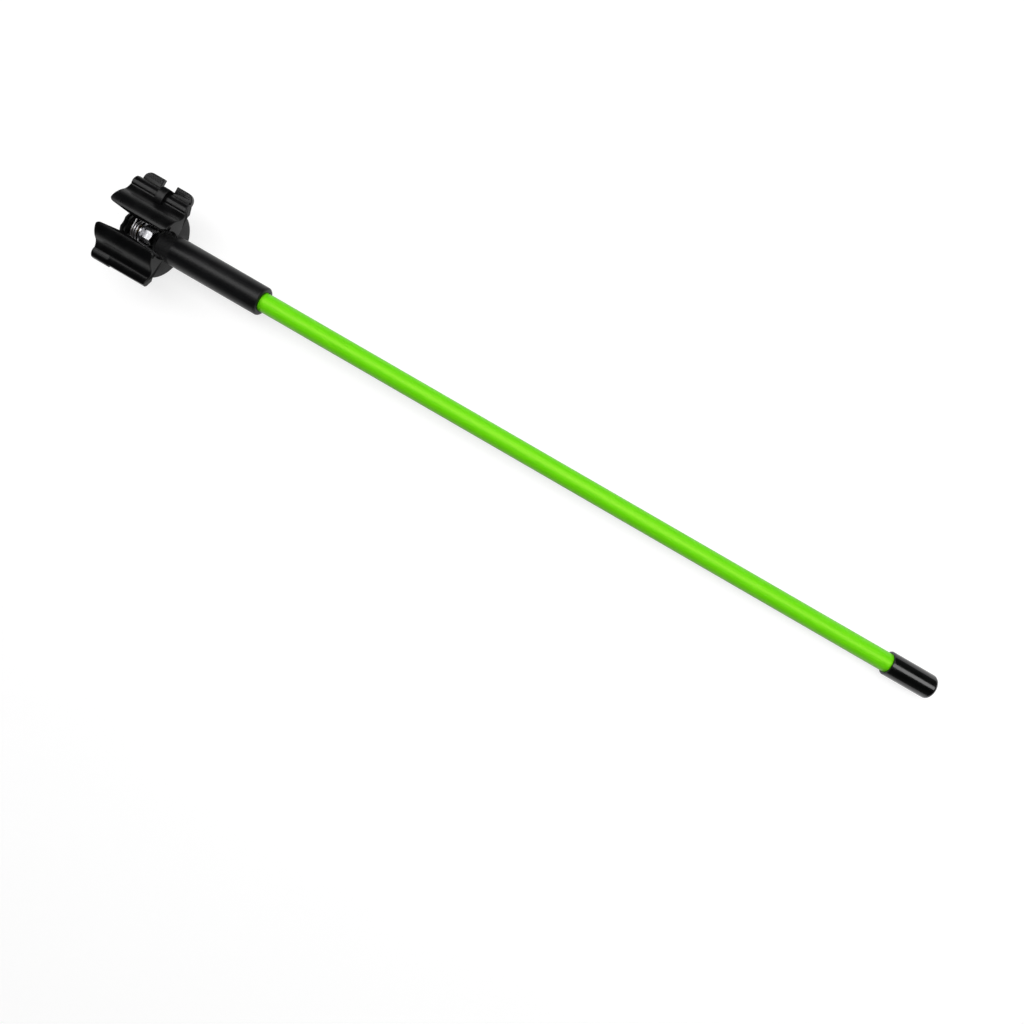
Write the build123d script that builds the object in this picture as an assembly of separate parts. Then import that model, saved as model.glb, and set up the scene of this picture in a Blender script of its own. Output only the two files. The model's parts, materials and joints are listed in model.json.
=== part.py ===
from build123d import *
import math
import os

# Clip-on golf alignment stick: a round fibreglass rod with a sprung clip for a club shaft.
# Sizes are in millimetres. +X runs from the clip to the tip of the stick, +Z points out of the
# clip's mouth, and the origin is the centre of the clamp seat at the middle of the jaws.
# Pieces are drawn about the stick's own axis, and moved into that frame as they are written.

# Overall sizes
JAW_LENGTH = 24.6          # along the stick
STICK_REACH = 353.3        # from the middle of the jaws to the end of the cap
ROD_R = 4.0
SEAT_HEIGHT = 11.5         # from the stick's axis to the axis of the clamped shaft
SHAFT_R = 4.75             # smallest club shaft that the closed clip holds

# Fits
SLIP = 0.03                # radial gap of a glued, pressed or threaded piece
RUN = 0.05                 # radial gap of the hinge
APART = 0.3                # gap between pieces that move past each other

# Sleeve and cap
SLEEVE_R = 6.0
SLEEVE_LENGTH = 44.9
SLEEVE_ROUND = 0.9
CAP_WALL = 1.0
CAP_LENGTH = 20.0
CAP_END = 1.8
CAP_ROUND = 1.3
ROD_CHAMFER = 0.3

# Hub
HUB_R = 14.6
HUB_FACE_X = 5.1           # face that the sleeve butts against
HUB_THICKNESS = 1.5
HUB_TOP = -1.5             # the jaws swing above this height
SHELL_WALL = 1.8
FOOT_DEPTH = 13.4          # from the stick's axis to the flat on the back
SPIGOT_LENGTH = 9.0
BOSS_R = 2.5               # carries the hinge's right-hand ears

# Pivot hardware, M3
BOLT_R = 1.5
BOLT_HEAD_R = 2.75
BOLT_HEAD_LENGTH = 2.0
BOLT_DRIVE = 2.0           # across the flats of the hex drive
DRIVE_DEPTH = 1.2
BOLT_TIP_CHAMFER = 0.4
BOLT_GRIP_END = 10.5       # where the bolt's tip stops
BUSH_R = 2.2
EAR_R = 6.5
EAR_THICKNESS = 1.3
RING_R = 4.2
RING_THICKNESS = 0.8       # of the right-hand ears
WASHER_R = 4.7
WASHER_THICKNESS = 0.8
WASHER_CHAMFER = 0.15
NUT_FLATS = 5.5
NUT_LENGTH = 4.4
NUT_CHAMFER = 0.35
RIM_INSET = 0.15           # of the nut's round rim, inside its flats
RIM_ROUND = 0.4
COLLAR_LENGTH = 1.0
INSERT_R = 2.4
INSERT_LENGTH = 6.5

# Torsion spring
WIRE_R = 0.35
COIL_R = 5.0               # to the middle of the wire
COIL_PITCH = 0.95
WHOLE_TURNS = 2
LEG_REACH = 8.3            # of the moving leg, from the stick's axis
LEG_ANGLE = 38.0
LEG_BEND = 0.8
ANCHOR_REACH = 11.6        # of the fixed leg

# Jaw outline, seen along the stick
MOUTH_HALF = 3.3
MOUTH_FLARE = 6.5          # degrees, widening towards both ends
MOUTH_CORNER = 2.4
NOSE_CENTRE = (3.5, 7.9)
NOSE_R = 8.37
CREASE = (10.8, 12.05)
GROOVE_MIDDLE = (12.35, 10.6)
BEAD_START = (14.0, 9.9)
BEAD_TOP = (15.6, 10.2)
BEAD_SIDE = (17.8, 8.9)
WING_EDGE_Y = 18.2
WING_BOTTOM = 6.4
WING_CHAMFER = 0.8
WING_INSIDE = (12.9, 7.9)
KEEL = (8.6, 7.7)          # underside, between the wing and the seat
BED_LOW = 40.0             # degrees of pad bed below the seat's middle
BED_HIGH = 38.0            # and above it
BED_WALL = 1.0             # jaw behind the pad's lower edge
LIP_Z = 15.0
JAW_BEVEL = 0.4
PAD_THICKNESS = 0.8
PAD_MARGIN = 1.0           # jaw left bare beyond each end of its pad
POCKETS = 3
POCKET_RIB = 1.6
POCKET = (7.1, 9.5, 11.2)  # inner side, outer side and roof
BEAD_STEP = 0.4            # relief of the lower jaw's bead
BEAD_STEP_X = -5.0

# Thumb tab
TAB_LENGTH = 21.0
TAB_MIDDLE_X = -0.9
TAB_EDGE_Y = 21.9
TAB_THICKNESS = 1.8
TAB_BOTTOM = 4.9
TAB_CORNER = 3.0
TAB_ROUND = 0.45
TAB_FLANGE_Y = 14.7
TAB_GAP = 0.2              # between the flange and the wing's step
TAB_LAP = 0.6              # of the flange into the plate
NOTCH_FLOOR = 0.6          # plate left between the notch and the wing
NOTCH_WIDTH = 5.6
HOOK_WIDTH = 3.3
HOOK_MIDDLE_X = 0.7
HOOK_TOP = (15.4, 12.7)
HOOK_ROUND = 0.3
HOOK_FOOT = 1.0            # beyond the wing
HOOK_SHOULDER = 1.2        # above the bead's side
HOOK_TIP = (0.5, -1.6)     # from the crease

# Small screws, M2
SCREW_R = 1.0
SCREW_HEAD_R = 1.7
SCREW_HEAD_LENGTH = 1.1
SCREW_HEAD_ROUND = 0.5
CROSS_SLOT = (0.5, 2.2, 0.5)   # width, length and depth
TAB_SCREW_X = 6.5
TAB_SCREW_LENGTH = 4.4
JAW_SCREW_ANGLES = (197.0, 217.0)
JAW_SCREW_LENGTH = 3.2

# Lower jaw's tongue and the closing stop
TONGUE_THICKNESS = 1.6
TONGUE_WIDTH = 6.0
TONGUE_ANGLES = (140.0, 226.0)
STOP_ANGLES = (207.0, 216.0)
STOP_REACH = 8.0
STOP_GAP_ANGLE = 1.5
HEEL_REACH = 10.2
HEEL_ANGLE = 9.0
HEEL_ROOT = 2.0            # beyond the bush

# Ears and the arms that carry the jaws from them
ARM_OUTER_ANGLE = 13.3     # where the arm leaves the ear's round
ARM_INNER = (3.2, 0.6)     # distance from the middle plane, and height as a share of the ear's radius
ARM_POINTS = [(11.7, 8.3), (9.0, 10.0), (4.7, 8.0)]

# Places along the stick, worked out from the sizes above
jaw_end = JAW_LENGTH / 2
hub_start = HUB_FACE_X - HUB_THICKNESS
right_upper_ear = (hub_start - APART - RING_THICKNESS, hub_start - APART)
right_lower_ear = (right_upper_ear[0] - APART - RING_THICKNESS, right_upper_ear[0] - APART)
nut_end = right_lower_ear[0] - SLIP
nut_start = nut_end - NUT_LENGTH
washer_start = nut_start - WASHER_THICKNESS
coil_end = washer_start - APART / 2
anchor_angle = STOP_ANGLES[1] + math.degrees(math.asin((WIRE_R + SLIP) / STOP_REACH))
moving_tangent = LEG_ANGLE + math.degrees(math.acos(COIL_R / LEG_REACH))
fixed_tangent = anchor_angle - math.degrees(math.acos(COIL_R / STOP_REACH))
coil_sweep = fixed_tangent - moving_tangent
coil_turns = WHOLE_TURNS + coil_sweep / 360
coil_start = coil_end - coil_turns * COIL_PITCH - 2 * WIRE_R
left_upper_ear = (coil_start - APART - EAR_THICKNESS, coil_start - APART)
left_lower_ear = (left_upper_ear[0] - APART - EAR_THICKNESS, left_upper_ear[0] - APART)
sleeve_end = HUB_FACE_X + SLEEVE_LENGTH
cap_start = STICK_REACH - CAP_LENGTH
rod_start = HUB_FACE_X + SPIGOT_LENGTH + SLIP
rod_end = STICK_REACH - CAP_END
bed_r = SHAFT_R + PAD_THICKNESS
shell_r = HUB_R - SHELL_WALL
tongue_r = shell_r - SLIP
tongue_end = right_lower_ear[1] + RING_THICKNESS / 2
wing_mid_y = (TAB_FLANGE_Y + WING_EDGE_Y) / 2


def slab(profile, x_start, x_end):
    """A profile drawn across the stick, drawn out along it."""
    return Pos(x_start, 0, 0) * extrude(Plane.YZ * profile, amount=x_end - x_start)


def bar(radius, x_start, x_end):
    """A round bar on the stick's axis."""
    return slab(Circle(radius), x_start, x_end)


def polar(radius, angle):
    """A point across the stick, by its radius and its angle from +Y towards +Z."""
    return (radius * math.cos(math.radians(angle)), radius * math.sin(math.radians(angle)))


def sector(r_inner, r_outer, angle_from, angle_to):
    """A piece of a ring across the stick."""
    middle = (angle_from + angle_to) / 2
    outline = [
        ThreePointArc(polar(r_inner, angle_from), polar(r_inner, middle), polar(r_inner, angle_to)),
        Line(polar(r_inner, angle_to), polar(r_outer, angle_to)),
        ThreePointArc(polar(r_outer, angle_to), polar(r_outer, middle), polar(r_outer, angle_from)),
        Line(polar(r_outer, angle_from), polar(r_inner, angle_from)),
    ]
    return make_face(outline)


def block(x_range, y_range, z_range):
    """A box between three pairs of limits."""
    size = [high - low for low, high in (x_range, y_range, z_range)]
    middle = [(high + low) / 2 for low, high in (x_range, y_range, z_range)]
    return Pos(*middle) * Box(*size)


def other_side(shape):
    """The same shape for the lower jaw."""
    return mirror(shape, about=Plane.XZ)


def pointing(angle, radius):
    """A place on a radius of the stick, with its own Z axis pointing outwards."""
    y, z = polar(1.0, angle)
    return Location(Plane(origin=(0, radius * y, radius * z), x_dir=(1, 0, 0), z_dir=(0, y, z)))


# Rod, sleeve and cap


def make_rod():
    body = bar(ROD_R, rod_start, rod_end)
    return chamfer(body.edges(), ROD_CHAMFER)


def make_sleeve():
    body = bar(SLEEVE_R, HUB_FACE_X, sleeve_end)
    rim = body.edges().group_by(Axis.X)[-1]
    body = fillet(rim, SLEEVE_ROUND)
    return body - bar(ROD_R + SLIP, HUB_FACE_X, sleeve_end)


def make_tip_cap():
    body = bar(ROD_R + CAP_WALL, cap_start, STICK_REACH)
    body = fillet(body.edges().group_by(Axis.X)[-1], CAP_ROUND)
    body = fillet(body.edges().group_by(Axis.X)[0], CAP_WALL / 4)
    return body - bar(ROD_R + SLIP, cap_start, rod_end + SLIP)


# Hub


def rear_part(profile):
    """What is left of a profile below the sweep of the jaws and above the foot."""
    width = 2 * HUB_R
    window = Pos(0, (HUB_TOP - FOOT_DEPTH) / 2) * Rectangle(width, FOOT_DEPTH + HUB_TOP)
    return profile & window


def make_hub():
    shell_start = left_lower_ear[0]
    disc = slab(rear_part(Circle(HUB_R)) + Circle(SLEEVE_R), hub_start, HUB_FACE_X)
    shell = slab(rear_part(Circle(HUB_R) - Circle(shell_r)), shell_start, hub_start)
    # the flat leaves a thin place in the shell's back, so a floor carries it
    floor = slab(rear_part(Circle(shell_r) & Pos(0, -FOOT_DEPTH) * Rectangle(2 * HUB_R, 2 * SHELL_WALL)),
                 shell_start, hub_start)
    spigot = bar(ROD_R, HUB_FACE_X, HUB_FACE_X + SPIGOT_LENGTH)
    boss = bar(BOSS_R, right_lower_ear[1], hub_start)
    stop = slab(sector(STOP_REACH, shell_r + SHELL_WALL / 2, *STOP_ANGLES),
                left_upper_ear[0] - APART / 2, washer_start)
    body = disc + shell + floor + spigot + boss + stop
    body -= bar(BOLT_R + SLIP, right_lower_ear[1], BOLT_GRIP_END + SLIP)
    body -= bar(INSERT_R + SLIP, HUB_FACE_X + SPIGOT_LENGTH - INSERT_LENGTH, HUB_FACE_X + SPIGOT_LENGTH)
    for angle in JAW_SCREW_ANGLES:
        hole = Pos(tongue_middle(), 0, 0) * Cylinder(SCREW_R + SLIP, 4 * SHELL_WALL)
        body -= pointing(angle, HUB_R) * hole
    return body


# Pivot hardware


def make_threaded_insert():
    start = HUB_FACE_X + SPIGOT_LENGTH - INSERT_LENGTH
    body = bar(INSERT_R, start, start + INSERT_LENGTH - SLIP)
    return body - bar(BOLT_R, start, HUB_FACE_X + SPIGOT_LENGTH)


def make_pivot_bolt():
    head_start = left_lower_ear[0] - BOLT_HEAD_LENGTH
    head = bar(BOLT_HEAD_R, head_start, left_lower_ear[0])
    head = fillet(head.edges().group_by(Axis.X)[0], BOLT_HEAD_LENGTH / 3)
    drive = slab(RegularPolygon(BOLT_DRIVE / 2, 6, major_radius=False), head_start, head_start + DRIVE_DEPTH)
    shank = bar(BOLT_R - SLIP, left_lower_ear[0], BOLT_GRIP_END)
    shank = chamfer(shank.edges().group_by(Axis.X)[-1], BOLT_TIP_CHAMFER)
    return head - drive + shank


def make_pivot_bush():
    body = bar(BUSH_R, left_lower_ear[1], washer_start)
    return body - bar(BOLT_R, left_lower_ear[1], washer_start)


def make_washer():
    body = bar(WASHER_R, washer_start, nut_start)
    body = chamfer(body.edges(), WASHER_CHAMFER)
    return body - bar(BOLT_R, washer_start, nut_start)


def make_lock_nut():
    """Hex nut with a round rim that holds the nylon collar."""
    hexagon = RegularPolygon(NUT_FLATS / 2, 6, major_radius=False)
    corner_r = NUT_FLATS / math.sqrt(3)
    body = slab(hexagon, nut_start, nut_end - COLLAR_LENGTH)
    cone = chamfer(bar(corner_r, nut_start, nut_end - COLLAR_LENGTH).edges(), NUT_CHAMFER)
    rim = bar(NUT_FLATS / 2 - RIM_INSET, nut_end - COLLAR_LENGTH, nut_end)
    rim = fillet(rim.edges().group_by(Axis.X)[-1], RIM_ROUND)
    body = (body & cone) + rim
    body -= bar(BOLT_R, nut_start, nut_end)
    return body - bar(collar_r() + SLIP, nut_end - COLLAR_LENGTH, nut_end)


def collar_r():
    """Outer radius of the nylon collar inside the nut's rim."""
    return (NUT_FLATS / 2 + BOLT_R) / 2


def make_nut_collar():
    start = nut_end - COLLAR_LENGTH
    return bar(collar_r(), start, nut_end) - bar(BOLT_R - SLIP / 2, start, nut_end)


# Torsion spring


def spring_helix():
    """The line of the coil, from where the moving leg joins it to where the fixed leg leaves."""
    plane = Plane(origin=(coil_start + WIRE_R, 0, 0), x_dir=(0, *polar(1, moving_tangent)), z_dir=(1, 0, 0))
    return plane * Helix(COIL_PITCH, COIL_PITCH * coil_turns, COIL_R)


def make_torsion_spring():
    helix = spring_helix()
    moving_length = math.sqrt(LEG_REACH**2 - COIL_R**2)
    fixed_length = math.sqrt(ANCHOR_REACH**2 - COIL_R**2)
    bend = helix @ 0 - (helix % 0) * moving_length
    hook_end = Vector(left_upper_ear[0] + RUN, bend.Y, bend.Z)
    moving_leg = FilletPolyline(hook_end, bend, helix @ 0, radius=LEG_BEND)
    fixed_leg = Line(helix @ 1, helix @ 1 + (helix % 1) * fixed_length)
    path = Wire(moving_leg.edges() + helix.edges() + fixed_leg.edges())
    return sweep(Plane(origin=path @ 0, z_dir=path % 0) * Circle(WIRE_R), path=path)


# Jaws, drawn as the upper one


def nose_point(y):
    """The nose's outer surface at a distance from the middle plane."""
    return (y, NOSE_CENTRE[1] + math.sqrt(NOSE_R**2 - (y - NOSE_CENTRE[0]) ** 2))


def bed_point(angle, radius):
    """A point about the clamp seat's axis, by its angle from +Y towards +Z."""
    y, z = polar(radius, angle)
    return (y, SEAT_HEIGHT + z)


def jaw_profile(bead_relief=0.0):
    """The outline of a jaw across the stick."""
    bead_top = (BEAD_TOP[0], BEAD_TOP[1] - bead_relief)
    bead_side = (BEAD_SIDE[0] - bead_relief, BEAD_SIDE[1])
    nose_end = nose_point(CREASE[0])
    lip_foot = bed_point(BED_HIGH, SHAFT_R + SLIP)
    wing_corner = (WING_EDGE_Y - bead_relief, WING_BOTTOM + WING_CHAMFER)
    bed_foot = bed_point(-BED_LOW, bed_r + BED_WALL)
    outline = [
        ThreePointArc(nose_point(MOUTH_HALF), nose_point((MOUTH_HALF + CREASE[0]) / 2), nose_end),
        ThreePointArc(nose_end, GROOVE_MIDDLE, BEAD_START),
        ThreePointArc(BEAD_START, bead_top, bead_side),
        Line(bead_side, wing_corner),
        Line(wing_corner, (WING_EDGE_Y - WING_CHAMFER, WING_BOTTOM)),
        Line((WING_EDGE_Y - WING_CHAMFER, WING_BOTTOM), (TAB_FLANGE_Y - TAB_GAP, WING_BOTTOM)),
        Line((TAB_FLANGE_Y - TAB_GAP, WING_BOTTOM), WING_INSIDE),
        Line(WING_INSIDE, KEEL),
        Line(KEEL, bed_foot),
        Line(bed_foot, bed_point(-BED_LOW, bed_r)),
        ThreePointArc(bed_point(-BED_LOW, bed_r), bed_point(0, bed_r), bed_point(BED_HIGH, bed_r)),
        Line(bed_point(BED_HIGH, bed_r), lip_foot),
        Line(lip_foot, (MOUTH_HALF, LIP_Z)),
        Line((MOUTH_HALF, LIP_Z), nose_point(MOUTH_HALF)),
    ]
    return make_face(outline)


def mouth_cutter():
    """What is cut from the lip so that the mouth widens towards its ends, with round corners."""
    end_y = MOUTH_HALF + jaw_end * math.tan(math.radians(MOUTH_FLARE))
    far_y = 2 * WING_EDGE_Y
    corners = [(-jaw_end, far_y), (-jaw_end, end_y), (0, MOUTH_HALF), (jaw_end, end_y), (jaw_end, far_y)]
    keep = make_face(Polyline(*corners, close=True))
    tips = keep.vertices().filter_by(lambda v: abs(v.Y - end_y) < 0.01)
    keep = fillet(tips, MOUTH_CORNER)
    sheet = Pos(0, far_y / 2) * Rectangle(2 * JAW_LENGTH, far_y) - keep
    return extrude(Pos(0, 0, LIP_Z - PAD_THICKNESS) * sheet, amount=NOSE_R)


def bevelled_end(relief=0.0):
    """The last of a jaw's length, with its edges bevelled."""
    return extrude(Plane.YZ * jaw_profile(relief), amount=JAW_BEVEL, taper=45)


def jaw_body(relief=0.0, relief_x=0.0):
    """The jaw without its ears; the bead is lower beyond relief_x by the relief."""
    middle_end = jaw_end - JAW_BEVEL
    body = slab(jaw_profile(), -middle_end, relief_x)
    body += slab(jaw_profile(relief), relief_x, middle_end)
    body += Pos(middle_end, 0, 0) * bevelled_end(relief)
    body += mirror(Pos(middle_end, 0, 0) * bevelled_end(), about=Plane.YZ)
    body -= mouth_cutter()
    bay = (JAW_LENGTH - POCKET_RIB * (POCKETS + 1)) / POCKETS
    for n in range(POCKETS):
        start = -jaw_end + POCKET_RIB + n * (bay + POCKET_RIB)
        body -= block((start, start + bay), POCKET[:2], (0, POCKET[2]))
    return body


def ear(radius, bore, limits):
    """A hinge ear with the arm that carries it, clear of the clamped shaft."""
    inner_y, inner_share = ARM_INNER
    arm = Polyline(polar(radius, ARM_OUTER_ANGLE), *ARM_POINTS, (inner_y, inner_share * radius), close=True)
    plate = make_face(arm) + Circle(radius)
    plate -= Pos(0, SEAT_HEIGHT) * Circle(bed_r)
    plate -= Circle(bore)
    return slab(plate, *limits)


def make_upper_jaw():
    body = jaw_body()
    body += ear(EAR_R, BUSH_R + RUN, left_upper_ear)
    body += ear(RING_R, BOSS_R + RUN, right_upper_ear)
    heel_end = STOP_ANGLES[0] - STOP_GAP_ANGLE
    heel = sector(BUSH_R + HEEL_ROOT, HEEL_REACH, heel_end - HEEL_ANGLE, heel_end)
    body += slab(heel, *left_upper_ear)
    body -= slab(Pos(*polar(LEG_REACH, LEG_ANGLE)) * Circle(WIRE_R + 2 * RUN), *left_upper_ear)
    for place in tab_screw_places():
        body -= place * Pos(0, 0, TAB_SCREW_LENGTH / 2) * Cylinder(SCREW_R + SLIP, TAB_SCREW_LENGTH + SLIP)
    return body


def tongue_middle():
    """Where the tongue and its screws lie along the stick."""
    return tongue_end - TONGUE_WIDTH / 2


def make_lower_jaw():
    body = other_side(jaw_body(BEAD_STEP, BEAD_STEP_X))
    body += other_side(ear(EAR_R, BOLT_R + SLIP, left_lower_ear))
    body += other_side(ear(RING_R, BOLT_R + SLIP, right_lower_ear))
    tongue = sector(tongue_r - TONGUE_THICKNESS, tongue_r, *TONGUE_ANGLES)
    body += slab(tongue, tongue_end - TONGUE_WIDTH, tongue_end)
    for angle in JAW_SCREW_ANGLES:
        hole = Pos(tongue_middle(), 0, 0) * Cylinder(SCREW_R + SLIP, 2 * JAW_SCREW_LENGTH)
        body -= pointing(angle, tongue_r) * hole
    return body


def make_pad():
    """Rubber lining of the upper jaw."""
    low = bed_point(-BED_LOW, bed_r)
    high = bed_point(BED_HIGH, bed_r)
    inner_low = bed_point(-BED_LOW, SHAFT_R)
    inner_high = bed_point(BED_HIGH, SHAFT_R)
    outline = [
        ThreePointArc(low, bed_point(0, bed_r), high),
        Line(high, inner_high),
        ThreePointArc(inner_high, bed_point(0, SHAFT_R), inner_low),
        Line(inner_low, low),
    ]
    return slab(make_face(outline), PAD_MARGIN - jaw_end, jaw_end - PAD_MARGIN)


# Thumb tab and screws


def tab_screw_places():
    """Where the tab's screws start, on the flange's underside."""
    return [Pos(TAB_MIDDLE_X + x, wing_mid_y, TAB_BOTTOM) for x in (-TAB_SCREW_X, TAB_SCREW_X)]


def screw_body(length, gap=0.0):
    """A countersunk screw along +Z from its head, or the hole for it."""
    slope = SCREW_HEAD_R - SCREW_R
    cone = Pos(0, 0, slope / 2) * Cone(SCREW_HEAD_R + gap, SCREW_R + gap, slope)
    return cone + Pos(0, 0, length / 2) * Cylinder(SCREW_R + gap, length)


def make_thumb_tab():
    middle = Pos(TAB_MIDDLE_X, (WING_EDGE_Y + TAB_EDGE_Y) / 2)
    plan = middle * Rectangle(TAB_LENGTH, TAB_EDGE_Y - WING_EDGE_Y)
    plan = fillet(plan.vertices().group_by(Axis.Y)[-1], TAB_CORNER)
    notch = Rectangle(NOTCH_WIDTH, 2 * (TAB_EDGE_Y - WING_EDGE_Y - NOTCH_FLOOR))
    plan -= Pos(TAB_MIDDLE_X, TAB_EDGE_Y) * notch
    plate = extrude(Pos(0, 0, TAB_BOTTOM) * plan, amount=TAB_THICKNESS)
    rim = plate.faces().sort_by(Axis.Z)[-1].edges().filter_by(lambda e: e.center().Y > WING_EDGE_Y + SLIP)
    plate = fillet(rim, TAB_ROUND)
    ends = (TAB_MIDDLE_X - TAB_LENGTH / 2, TAB_MIDDLE_X + TAB_LENGTH / 2)
    flange = block(ends, (TAB_FLANGE_Y, WING_EDGE_Y + TAB_LAP), (TAB_BOTTOM, WING_BOTTOM))
    body = plate + flange + hook()
    for place in tab_screw_places():
        body -= place * screw_body(TAB_THICKNESS, SLIP)
    return body


def hook():
    """The rib that hooks over the bead, from the notch to the crease."""
    foot_y = WING_EDGE_Y + HOOK_FOOT
    start = (foot_y, TAB_BOTTOM)
    shoulder = (foot_y, BEAD_SIDE[1] + HOOK_SHOULDER)
    tip = (CREASE[0] + HOOK_TIP[0], CREASE[1] + HOOK_TIP[1])
    inside = (BEAD_TOP[0], WING_BOTTOM)
    outline = [
        Line(start, shoulder),
        ThreePointArc(shoulder, HOOK_TOP, tip),
        Line(tip, inside),
        Line(inside, (BEAD_TOP[0], TAB_BOTTOM)),
        Line((BEAD_TOP[0], TAB_BOTTOM), start),
    ]
    body = slab(make_face(outline), HOOK_MIDDLE_X - HOOK_WIDTH / 2, HOOK_MIDDLE_X + HOOK_WIDTH / 2)
    crown = body.faces().filter_by(GeomType.CYLINDER).sort_by(Axis.Z)[-1]
    body = fillet(crown.edges().filter_by(GeomType.CIRCLE), HOOK_ROUND)
    return body - slab(jaw_profile(), -HOOK_WIDTH, HOOK_WIDTH)


def make_tab_screws():
    return Compound([place * screw_body(TAB_SCREW_LENGTH) for place in tab_screw_places()])


def make_jaw_screws():
    """Pan head screws that hold the lower jaw's tongue inside the hub's shell."""
    head = Pos(0, 0, SCREW_HEAD_LENGTH / 2) * Cylinder(SCREW_HEAD_R, SCREW_HEAD_LENGTH)
    head = fillet(head.edges().group_by(Axis.Z)[-1], SCREW_HEAD_ROUND)
    screw = head + Pos(0, 0, -JAW_SCREW_LENGTH / 2) * Cylinder(SCREW_R, JAW_SCREW_LENGTH)
    width, length, depth = CROSS_SLOT
    screw -= Pos(0, 0, SCREW_HEAD_LENGTH) * Box(width, length, 2 * depth)
    screw -= Pos(0, 0, SCREW_HEAD_LENGTH) * Box(length, width, 2 * depth)
    screw = Pos(tongue_middle(), 0, 0) * screw
    return Compound([pointing(angle, HUB_R) * screw for angle in JAW_SCREW_ANGLES])


def main():
    pieces = {
        "rod": make_rod(),
        "sleeve": make_sleeve(),
        "tip_cap": make_tip_cap(),
        "hub": make_hub(),
        "threaded_insert": make_threaded_insert(),
        "pivot_bolt": make_pivot_bolt(),
        "pivot_bush": make_pivot_bush(),
        "washer": make_washer(),
        "lock_nut": make_lock_nut(),
        "nut_collar": make_nut_collar(),
        "torsion_spring": make_torsion_spring(),
        "upper_jaw": make_upper_jaw(),
        "lower_jaw": make_lower_jaw(),
        "upper_pad": make_pad(),
        "lower_pad": other_side(make_pad()),
        "thumb_tab": make_thumb_tab(),
        "tab_screws": make_tab_screws(),
        "jaw_screws": make_jaw_screws(),
    }
    os.makedirs("parts", exist_ok=True)
    for name, shape in pieces.items():
        export_step(Pos(0, 0, -SEAT_HEIGHT) * shape, f"parts/{name}.step")


main()
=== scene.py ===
import json
import math

import bmesh
import bpy
from mathutils import Matrix, Vector

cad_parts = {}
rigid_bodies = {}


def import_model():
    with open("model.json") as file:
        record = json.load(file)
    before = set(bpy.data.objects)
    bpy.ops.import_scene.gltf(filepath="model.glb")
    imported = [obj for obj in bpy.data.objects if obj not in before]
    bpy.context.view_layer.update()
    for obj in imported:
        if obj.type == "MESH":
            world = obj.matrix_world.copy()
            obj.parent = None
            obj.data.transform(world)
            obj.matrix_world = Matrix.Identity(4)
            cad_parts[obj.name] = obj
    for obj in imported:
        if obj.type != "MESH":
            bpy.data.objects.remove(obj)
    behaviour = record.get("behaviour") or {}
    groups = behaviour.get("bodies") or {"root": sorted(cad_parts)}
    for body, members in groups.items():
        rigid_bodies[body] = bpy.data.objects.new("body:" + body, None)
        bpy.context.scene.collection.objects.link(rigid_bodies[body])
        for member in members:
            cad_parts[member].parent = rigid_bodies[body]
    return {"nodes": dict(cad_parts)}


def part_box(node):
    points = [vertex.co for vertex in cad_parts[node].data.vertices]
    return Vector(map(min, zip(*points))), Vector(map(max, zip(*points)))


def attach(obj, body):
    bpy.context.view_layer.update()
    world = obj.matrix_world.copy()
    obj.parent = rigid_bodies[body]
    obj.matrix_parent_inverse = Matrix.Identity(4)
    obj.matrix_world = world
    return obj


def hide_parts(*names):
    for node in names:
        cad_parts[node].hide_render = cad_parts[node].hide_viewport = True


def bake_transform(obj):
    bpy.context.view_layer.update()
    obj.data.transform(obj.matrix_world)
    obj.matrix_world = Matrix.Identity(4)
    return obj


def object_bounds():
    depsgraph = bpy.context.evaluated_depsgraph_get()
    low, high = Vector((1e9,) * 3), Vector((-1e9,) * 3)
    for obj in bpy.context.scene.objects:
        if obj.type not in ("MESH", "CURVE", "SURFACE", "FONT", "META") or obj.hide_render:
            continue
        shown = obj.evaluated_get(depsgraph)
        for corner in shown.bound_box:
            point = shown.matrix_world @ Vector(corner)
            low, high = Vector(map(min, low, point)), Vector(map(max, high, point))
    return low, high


# Golf alignment stick with a sprung clip: the looks of every piece, and a plain studio to see it in.
# +X runs along the stick from the clip to the cap, +Z points out of the clip's mouth.

bl_info = {
    "name": "Golf Alignment Stick",
    "version": (1, 0, 0),
    "blender": (4, 5, 0),
    "location": "3D View > Sidebar > Stick",
    "description": "Builds the finished pieces of a clip-on alignment stick round its frame",
    "category": "Add Mesh",
}

for spare in list(bpy.data.objects):
    bpy.data.objects.remove(spare)
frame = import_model()
CAD_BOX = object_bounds()

MM = 0.001
STICK = "stick"
JAW = "moving_jaw"


def low(node):
    """The lowest corner of a node."""
    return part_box(node)[0]


def high(node):
    """The highest corner of a node."""
    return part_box(node)[1]


AXIS_Z = (low("rod").z + high("rod").z) / 2


def outer_radius(node):
    """The radius of a round node about the stick's axis."""
    return high(node).z - AXIS_Z


def length_setting(name, description, default):
    """A length that the user can change, given in millimetres."""
    return bpy.props.FloatProperty(
        name=name, description=description, default=default * MM, min=0.0, precision=5, unit="LENGTH"
    )


def angle_setting(name, description, default):
    """An angle that the user can change, given in degrees."""
    return bpy.props.FloatProperty(
        name=name, description=description, default=math.radians(default), subtype="ANGLE"
    )


def colour_setting(name, description, default):
    """A colour that the user can change."""
    return bpy.props.FloatVectorProperty(
        name=name, description=description, default=default, min=0.0, max=1.0, size=3, subtype="COLOR"
    )


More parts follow.
